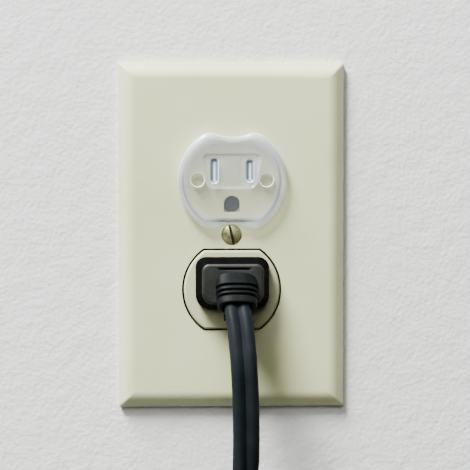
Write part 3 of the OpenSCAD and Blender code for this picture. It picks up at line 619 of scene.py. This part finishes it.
for side, prong_h in ((-1, 7.6), (1, 6.4)):
    def prong(grow, y):
        middle = (side * blade_x, cap_z + slot_up)
        return rounded_box(1.5 + 2 * grow, prong_h + 2 * grow, 0.35 + grow, y, 4, middle)

    ring = ring_of(bm, prong(0, -plate_d - cavity_depth))
    floor_holes.append(ring)
    bm.faces.new(run_wall(bm, ring, [prong(0, 6.2), prong(-0.3, 7.3)]))
close_between(bm, cavity_floor, *floor_holes)

clear_plastic, surface = new_material("cloudy_clear_plastic")
mottle(clear_plastic, surface, [srgb(208, 213, 220), srgb(222, 227, 234)], 90)
vary_roughness(clear_plastic, surface, 0.12, 0.2, 150)
grain(clear_plastic, surface, 120, 0.0002, 2)
nodes, links = clear_plastic.node_tree.nodes, clear_plastic.node_tree.links
where = nodes.new("ShaderNodeTexCoord")
centred = nodes.new("ShaderNodeMapping")
centred.inputs["Location"].default_value = (0, 0, -cap_z * MM * 57.5)
centred.inputs["Scale"].default_value = (51.3, 0, 57.5)
outwards = nodes.new("ShaderNodeVectorMath")
outwards.operation = "LENGTH"
haze = nodes.new("ShaderNodeMapRange")
haze.inputs["From Min"].default_value = 0.8
haze.inputs["From Max"].default_value = 1.0
haze.inputs["To Min"].default_value = 0.05
haze.inputs["To Max"].default_value = 0.42
links.new(where.outputs["Object"], centred.inputs["Vector"])
links.new(centred.outputs["Vector"], outwards.inputs[0])
links.new(outwards.outputs["Value"], haze.inputs["Value"])
cap_front, cap_back = -plate_d - cap_d, -plate_d
# Opacity by depth, raised on the recess walls and in the prong pockets so that the painted shade and
# highlights there show.
edges = depth_ramp(clear_plastic, cap_front, cap_back, [
    (-9.4, 0.06), (-9.3, 0.18), (-9.05, 0.3), (-8.8, 0.12), (-8.5, 0.12), (-8.44, 0.7), (-8.25, 0.7),
    (-8.1, 0.55), (-7.6, 0.6), (-7.42, 0.85), (-7.2, 0.02), (-6.8, 0.02), (-6.3, 0.3), (-5.8, 0.2)])
thicker = nodes.new("ShaderNodeMath")
thicker.operation = "MAXIMUM"
# Towards the top the cap is made more opaque, so it looks whiter there: painted light from above.
upward = nodes.new("ShaderNodeSeparateXYZ")
painted_top_light = nodes.new("ShaderNodeMapRange")
painted_top_light.inputs["From Min"].default_value = -0.2
painted_top_light.inputs["From Max"].default_value = 0.95
painted_top_light.inputs["To Max"].default_value = 0.24
total = nodes.new("ShaderNodeMath")
total.use_clamp = True
links.new(centred.outputs["Vector"], upward.inputs["Vector"])
links.new(upward.outputs["Z"], painted_top_light.inputs["Value"])
links.new(haze.outputs["Result"], thicker.inputs[0])
links.new(edges.outputs["Color"], thicker.inputs[1])
links.new(thicker.outputs["Value"], total.inputs[0])
links.new(painted_top_light.outputs["Result"], total.inputs[1])
links.new(total.outputs["Value"], surface.inputs["Alpha"])
# Tint by depth paints light and shade: darker recess walls are painted shade, dark blue prong pockets are
# painted shade of the slots behind, and bright bands at the pocket lips and bottoms are painted highlights.
tint_by_depth(clear_plastic, surface, cap_front, cap_back, [
    (-9.4, (1.0, 1.0, 0.98)), (-9.05, (0.84, 0.84, 0.84)), (-8.7, (0.96, 0.97, 1.0)),
    (-8.3, (1.25, 1.25, 1.25)), (-8.1, (0.25, 0.38, 0.52)), (-7.55, (0.3, 0.45, 0.6)),
    (-7.42, (1.1, 1.2, 1.25)), (-7.0, (0.94, 0.96, 1.0))])
surface.inputs["Coat Weight"].default_value = 1.0
surface.inputs["Coat IOR"].default_value = 1.75
surface.inputs["Coat Roughness"].default_value = 0.32
cap = moulded(bm, "clear_safety_cap", "safety_cap", clear_plastic, ["safety_cap"], 40)
# The walls of the two round holes get a whiter, nearly opaque copy of the plastic: a painted highlight round
# the holes.
hole_edge, surface = new_material("painted_highlight_hole_rim")
mottle(hole_edge, surface, [srgb(240, 242, 244), srgb(250, 251, 252)], 200)
vary_roughness(hole_edge, surface, 0.15, 0.25, 200)
grain(hole_edge, surface, 900, 0.00002, 2)
surface.inputs["Alpha"].default_value = 0.8
cap.data.materials.append(hole_edge)
for face in cap.data.polygons:
    off = math.hypot(abs(face.center.x) / MM - hole_x, face.center.z / MM - cap_z - hole_up)
    face.material_index = int(off < 2.64 and face.center.y < -9.0 * MM)


# --- Plug ---
# A two-blade plug overmoulded in black vinyl. Its sides slope in to a flat front, and a thin finger groove
# runs above the place where the strain relief comes out.
plug_z, plug_back, plug_front = -16.9, -6.65, -16.65


def plug_outline(inset, y, steps=8):
    w, h = 26.0 - 2 * inset, 18.4 - 2 * inset
    points = []
    for x, z, start, r in ((1, 1, 0, 3.6), (-1, 1, 90, 3.6), (-1, -1, 180, 5.0), (1, -1, 270, 5.0)):
        r -= inset * 0.5
        for i in range(steps + 1):
            a = math.radians(start + 90 * i / steps)
            points.append(Vector((x * (w / 2 - r) + r * math.cos(a), y,
                                  plug_z + z * (h / 2 - r) + r * math.sin(a))) * MM)
    return points


bm = bmesh.new()
back = ring_of(bm, plug_outline(0.5, plug_back))
bm.faces.new(back)
front = run_wall(bm, back, [plug_outline(*p) for p in (
    (0.15, -6.72), (0, -6.95), (0, -9.0), (0, -11.3), (0.08, -11.75), (0.3, -12.2), (2.0, -15.75),
    (2.12, -16.15), (2.35, -16.48), (2.75, -16.63), (3.2, plug_front))])
groove_at = (0.6, -11.4)
groove = ring_of(bm, rounded_box(11.6, 1.3, 0.6, plug_front, 5, groove_at))
close_between(bm, front, groove)
groove_end = run_wall(bm, groove, [rounded_box(11.3, 1.0, 0.5, plug_front + 0.12, 5, groove_at),
                                   rounded_box(11.1, 0.8, 0.4, plug_front + 1.3, 5, groove_at)])
bm.faces.new(groove_end)

black_vinyl, surface = new_material("black_moulded_vinyl")
mottle(black_vinyl, surface, [srgb(22, 26, 24), srgb(27, 31, 28), srgb(33, 36, 32)], 130, 0.3, 0.7)
vary_roughness(black_vinyl, surface, 0.42, 0.56, 260)
surface.inputs["Specular IOR Level"].default_value = 0.3
grain(black_vinyl, surface, 2200, 0.00006, 3)
grain(black_vinyl, surface, 240, 0.00012, 2)
# The sloping sides get a near-black copy of the vinyl with almost no gloss: painted shade, so they look
# darker than the front.
shaded_side_vinyl, surface = new_material("black_vinyl_painted_shade")
mottle(shaded_side_vinyl, surface, [srgb(3, 3, 4), srgb(6, 6, 7)], 130, 0.3, 0.7)
vary_roughness(shaded_side_vinyl, surface, 0.55, 0.65, 260)
grain(shaded_side_vinyl, surface, 900, 0.00003, 2)
surface.inputs["Specular IOR Level"].default_value = 0.01
plug = moulded(bm, "black_plug", "lead", black_vinyl, ["plug_body"], 50)
plug.data.materials.append(shaded_side_vinyl)
for face in plug.data.polygons:
    face.material_index = int(face.center.y > -16.0 * MM and abs(face.normal.y) < 0.9)

carrier, surface = new_material("blade_carrier_moulding")
mottle(carrier, surface, [srgb(58, 60, 62), srgb(70, 72, 74)], 300)
vary_roughness(carrier, surface, 0.5, 0.65, 300)
grain(carrier, surface, 1800, 0.00005, 3)
dress("blade_carrier", carrier, 0.1)
blade_plate = metal("blade_nickel", (0.74, 0.74, 0.71), 0.2, 1400, (1, 0.15, 1), (0.60, 0.58, 0.52), 0.00001)
dress("hot_blade", blade_plate, 0.15, 2)
dress("neutral_blade", blade_plate, 0.15, 2)
dress("blade_crimps", brass, 0.1)
insulation, surface = new_material("core_insulation")
mottle(insulation, surface, [srgb(150, 82, 48), srgb(168, 96, 60)], 300)
vary_roughness(insulation, surface, 0.4, 0.55, 300)
grain(insulation, surface, 1500, 0.00004, 2)
dress("plug_wires", insulation)


# --- Strain relief ---
# The plug's moulded neck: a crowned block that leans down and out, cut by three grooves so that it flexes,
# with a plain rim round the cord's mouth.
lean = math.radians(50)
relief_half_w, relief_half_t = 7.5, 4.1
sideways = Vector((1, 0, 0))
relief_end = Vector((1.3, -21.48, -24.84))
relief_way = Vector((0, -math.cos(lean), -math.sin(lean)))
relief_up = Vector((0, -math.sin(lean), math.cos(lean)))


def oval_ring(centre, across, up, a, b, squareness, steps=48):
    """Outline between an ellipse (squareness 2) and a rectangle, round a centre; sizes in millimetres."""
    points = []
    for i in range(steps):
        t = 2 * math.pi * i / steps
        c, s = math.cos(t), math.sin(t)
        x = a * math.copysign(abs(c) ** (2 / squareness), c)
        y = b * math.copysign(abs(s) ** (2 / squareness), s)
        points.append((centre + x * across + y * up) * MM)
    return points


def relief_ring(s, inset=0.0):
    t = (s + 17) / 17
    half_w = relief_half_w - 0.7 * max(0, (s + 8) / 8)
    return oval_ring(relief_end + s * relief_way, sideways, relief_up,
                     half_w - inset, relief_half_t - inset, 3.6 - 1.1 * t)


relief_vinyl, surface = new_material("black_neck_vinyl")
mottle(relief_vinyl, surface, [srgb(7, 10, 11), srgb(11, 14, 15), srgb(15, 18, 18)], 200, 0.3, 0.7)
vary_roughness(relief_vinyl, surface, 0.4, 0.52, 260)
grain(relief_vinyl, surface, 1800, 0.00005, 3)
surface.inputs["Specular IOR Level"].default_value = 0.04
bm = bmesh.new()
ring = ring_of(bm, relief_ring(-15.5))
bm.faces.new(ring)
stations = [(-12, 0), (-10, 0)]
for start, end in ((-7.9, -6.9), (-5.7, -4.8), (-3.75, -2.85)):
    stations += [(start - 0.25, 0), (start - 0.05, 0.12), (start + 0.08, 0.75), (start + 0.3, 0.95),
                 (end - 0.3, 0.95), (end - 0.08, 0.75), (end + 0.05, 0.12), (end + 0.25, 0)]
stations += [(-1.2, 0), (-0.45, 0.05), (-0.15, 0.2), (0, 0.5)]
ring = run_wall(bm, ring, [relief_ring(*p) for p in stations])
mouth = [oval_ring(relief_end + s * relief_way, sideways, relief_up, a, b, 2.6)
         for s, a, b in ((0, 5.5, 3.1), (-0.25, 5.15, 2.8), (-2.4, 4.95, 2.6))]
ring = run_wall(bm, ring, mouth)
bm.faces.new(ring)
relief = moulded(bm, "plug_strain_relief", "lead", relief_vinyl, ["strain_relief"], 55)


# --- Cord ---
# Flat twin flex: two stranded cores side by side in one black vinyl jacket with a groove between them.
# It leaves the strain relief leaning out, hangs straight down, and its spare length is wound in a tied coil.
cord_w, cord_t = 9.3, 4.7
drop = [(0.25, -1.7, -2), (0.65, -3.2, -4.2), (1.1, -5.3, -8.4), (1.45, -6.9, -13), (1.8, -7.8, -17.6),
        (2.1, -8.2, -22.5), (2.4, -8.3, -28.5), (2.6, -8.2, -35), (2.7, -8.1, -42), (2.7, -8, -49),
        (2.5, -7.9, -55), (1.8, -7.8, -63), (-0.1, -7.7, -71.5), (-3.8, -7.6, -80.5),
        (-9.3, -7.5, -88.5), (-15.8, -7.5, -94.5), (-23.2, -7.5, -99)]
route = [relief_end - 6 * relief_way, relief_end - 2 * relief_way] + [relief_end + Vector(p) for p in drop]
twist = [0.0] * 12 + [90 * i / 7 for i in range(1, 8)]
coil_r, turn_t, layer_w, join_angle = 51.5, cord_t + 0.2, cord_w + 0.2, 116
outer_r = coil_r + turn_t
a = math.radians(join_angle)
coil_centre = route[-1] + Vector((-outer_r * math.cos(a), layer_w / 2, -outer_r * math.sin(a)))
wound = 180 + 5 * 360 - join_angle
half_wound = wound / 2
crossing = 80
for step in range(12, wound - 5, 12):
    inward = min(step, wound - step) / 360 * turn_t
    over = min(1, max(0, (step - half_wound) / crossing + 0.5))
    over = over * over * (3 - 2 * over)
    a = math.radians(join_angle + step)
    r = outer_r - inward
    route.append(coil_centre + Vector((r * math.cos(a), layer_w * (over - 0.5), r * math.sin(a))))
    twist.append(90)
tail_start = coil_centre + Vector((-outer_r, layer_w / 2, 0))
tail = [(0, 0), (-1, -5.5), (-2.8, -11), (-5.2, -16.5)]
for x, z in tail:
    route.append(tail_start + Vector((x, 0, z)))
    twist.append(90)


def smooth_way(points, values, spacing):
    """A smooth curve through the points, sampled evenly enough, with the values carried along it."""
    way = []
    for i in range(len(points) - 1):
        p0, p1, p2 = points[max(i - 1, 0)], points[i], points[i + 1]
        p3 = points[min(i + 2, len(points) - 1)]
        pieces = max(2, round((p2 - p1).length / spacing))
        for j in range(pieces):
            t = j / pieces
            p = 0.5 * (2 * p1 + (p2 - p0) * t + (2 * p0 - 5 * p1 + 4 * p2 - p3) * t ** 2
                       + (3 * p1 - p0 - 3 * p2 + p3) * t ** 3)
            way.append((p, values[i] + (values[i + 1] - values[i]) * t))
    way.append((points[-1], values[-1]))
    return way


lobe_r = cord_t / 2
section = []
for side, start, end in ((1, -132, 132), (-1, 132, -132)):
    section.append((0, -side * 1.32))
    for i in range(12):
        a = math.radians(start + (end - start) * i / 11)
        section.append((side * (cord_w / 2 - lobe_r + lobe_r * math.cos(a)), lobe_r * math.sin(a)))
way = smooth_way(route, twist, 2.6)
cord_line = [p for p, turn in way]
bm = bmesh.new()
rings = []
for i, (p, turn) in enumerate(way):
    ahead = (cord_line[min(i + 1, len(way) - 1)] - cord_line[max(i - 1, 0)]).normalized()
    wide = Vector((math.cos(math.radians(turn)), math.sin(math.radians(turn)), 0))
    wide = (wide - wide.dot(ahead) * ahead).normalized()
    thin = ahead.cross(wide)
    rings.append([(p + x * wide + y * thin) * MM for x, y in section])
ring = ring_of(bm, rings[0])
bm.faces.new(ring)
bm.faces.new(run_wall(bm, ring, rings[1:]))

flex_vinyl, surface = new_material("black_flex_vinyl")
mottle(flex_vinyl, surface, [srgb(17, 22, 25), srgb(21, 26, 29), srgb(26, 31, 35)], 90, 0.3, 0.7)
vary_roughness(flex_vinyl, surface, 0.42, 0.55, 180)
surface.inputs["Specular IOR Level"].default_value = 0.04
grain(flex_vinyl, surface, 1500, 0.00005, 3)
cord = moulded(bm, "flat_twin_cord", "lead", flex_vinyl,
               ["cord_run", "cord_coil", "cord_tail"], 60)


# --- Coil tie ---
# One woven hook-and-loop strap round all the turns, pressed shut on itself on the coil's outside.
tie_angle = math.radians(140)
radial = Vector((math.cos(tie_angle), 0, math.sin(tie_angle)))
along_coil = Vector((-math.sin(tie_angle), 0, math.cos(tie_angle)))
into_wall = Vector((0, 1, 0))
tie_centre = coil_centre + coil_r * radial
deep, broad, bend_r = 15.9, 20.2, 3.0
strap_half_w, strap_t = 5, 0.9
loop = []
for x, y, start in ((1, 1, 0), (-1, 1, 90), (-1, -1, 180), (1, -1, 270)):
    for i in range(7):
        a = math.radians(start + 15 * i)
        loop.append(Vector((x * (deep / 2 - bend_r) + bend_r * math.cos(a),
                            y * (broad / 2 - bend_r) + bend_r * math.sin(a))))
overlap = [(0.3, -5.5), (0.85, -3.4), (1.0, -1.0), (1.0, 4.0), (1.0, 6.2)]
lap = [Vector((deep / 2, -2.0))] + loop + [Vector((deep / 2 + lift, y)) for lift, y in overlap]
inner_half, broken = strap_half_w - 0.15, 0.12
strap_section = [(-strap_half_w, broken), (-inner_half, 0), (inner_half, 0), (strap_half_w, broken),
                 (strap_half_w, strap_t - broken), (inner_half, strap_t), (-inner_half, strap_t),
                 (-strap_half_w, strap_t - broken)]
bm = bmesh.new()
rings = []
for i, p in enumerate(lap):
    ahead = (lap[min(i + 1, len(lap) - 1)] - lap[max(i - 1, 0)]).normalized()
    out = Vector((ahead.y, -ahead.x))
    ring = []
    for side, lift in strap_section:
        q = p + (lift - strap_t / 2) * out
        ring.append((tie_centre + q.x * radial + q.y * into_wall + side * along_coil) * MM)
    rings.append(ring)
ring = ring_of(bm, rings[0])
bm.faces.new(ring)
bm.faces.new(run_wall(bm, ring, rings[1:]))
woven, surface = new_material("woven_strap")
mottle(woven, surface, [srgb(44, 46, 50), srgb(60, 62, 66)], 1400, 0.35, 0.65)
surface.inputs["Roughness"].default_value = 0.85
surface.inputs["Sheen Weight"].default_value = 0.4
grain(woven, surface, 3200, 0.0002, 2)
tie = moulded(bm, "coil_strap", "lead", woven, ["cord_tie"], 40)


# --- Far connector ---
# The appliance end of the lead: a two-pole connector moulded on the cord, with its own ribbed neck
# and two plated sleeves set back in the nose.
tail_turn = math.radians(23.5)
tail_way = Vector((-math.sin(tail_turn), 0, -math.cos(tail_turn)))
tail_side = Vector((-math.cos(tail_turn), 0, math.sin(tail_turn)))
neck_start = route[-1] + 0.05 * tail_way
neck_l, shell_l, nose_l = 13.0, 26.0, 9.0
pole_x = 4.3


def neck_ring(s, inset=0.0):
    t = s / neck_l
    return oval_ring(neck_start + s * tail_way, into_wall, tail_side,
                     5.4 + 0.9 * t - inset, 3.1 + 1.1 * t - inset, 2.8)


bm = bmesh.new()
ring = ring_of(bm, neck_ring(0, 0.25))
bm.faces.new(ring)
stations = [(0.25, 0)]
for i in range(4):
    start = 2.0 + 2.6 * i
    stations += [(start - 0.15, 0), (start + 0.05, 0.15), (start + 0.2, 0.85),
                 (start + 0.8, 0.85), (start + 0.95, 0.15), (start + 1.15, 0)]
stations += [(neck_l, 0)]
bm.faces.new(run_wall(bm, ring, [neck_ring(*p) for p in stations]))
neck = moulded(bm, "connector_neck", "lead", relief_vinyl, ["connector_relief"], 55)

shell_start = neck_start + (neck_l + 0.05) * tail_way
nose_start = shell_l - nose_l


def shell_ring(s, inset, squareness=4.5):
    return oval_ring(shell_start + s * tail_way, into_wall, tail_side, 8.5 - inset, 5.0 - inset, squareness)


def nose_ring(s, inset):
    """Two round barrels joined by a web."""
    points = []
    for i in range(48):
        t = 2 * math.pi * i / 48
        c, sn = math.cos(t), math.sin(t)
        r = 4.1 - inset
        bulge = math.sqrt(max(r * r - (pole_x * sn) ** 2, 0))
        barrel = pole_x * abs(c) + bulge if r > pole_x * abs(sn) else 0
        web = (3.3 - inset) / max(abs(sn), 0.05)
        reach = max(barrel, min(web, 6.0))
        points.append((shell_start + s * tail_way + reach * c * into_wall + reach * sn * tail_side) * MM)
    return points


bm = bmesh.new()
ring = ring_of(bm, shell_ring(0, 1.2))
bm.faces.new(ring)
ring = run_wall(bm, ring, [shell_ring(*p) for p in (
    (0.2, 0.7), (0.7, 0.3), (1.8, 0), (nose_start - 1, 0), (nose_start - 0.3, 0.15), (nose_start, 0.5))])
ring = run_wall(bm, ring, [nose_ring(*p) for p in (
    (nose_start, 0), (shell_l - 0.8, 0), (shell_l - 0.2, 0.2), (shell_l, 0.6))])
sleeve_mouths = []
for side in (-1, 1):
    def sleeve_hole(s, r):
        middle = shell_start + s * tail_way + side * pole_x * into_wall
        return oval_ring(middle, into_wall, tail_side, r, r, 2, 24)

    mouth = ring_of(bm, sleeve_hole(shell_l, 1.85))
    sleeve_mouths.append(mouth)
    bm.faces.new(run_wall(bm, mouth, [sleeve_hole(shell_l - 0.25, 1.62), sleeve_hole(shell_l - 15.8, 1.62)]))
close_between(bm, ring, *sleeve_mouths)
shell = moulded(bm, "connector_shell", "lead", relief_vinyl, ["connector_body"], 50)
dress("connector_sleeves", blade_plate, 0.08)
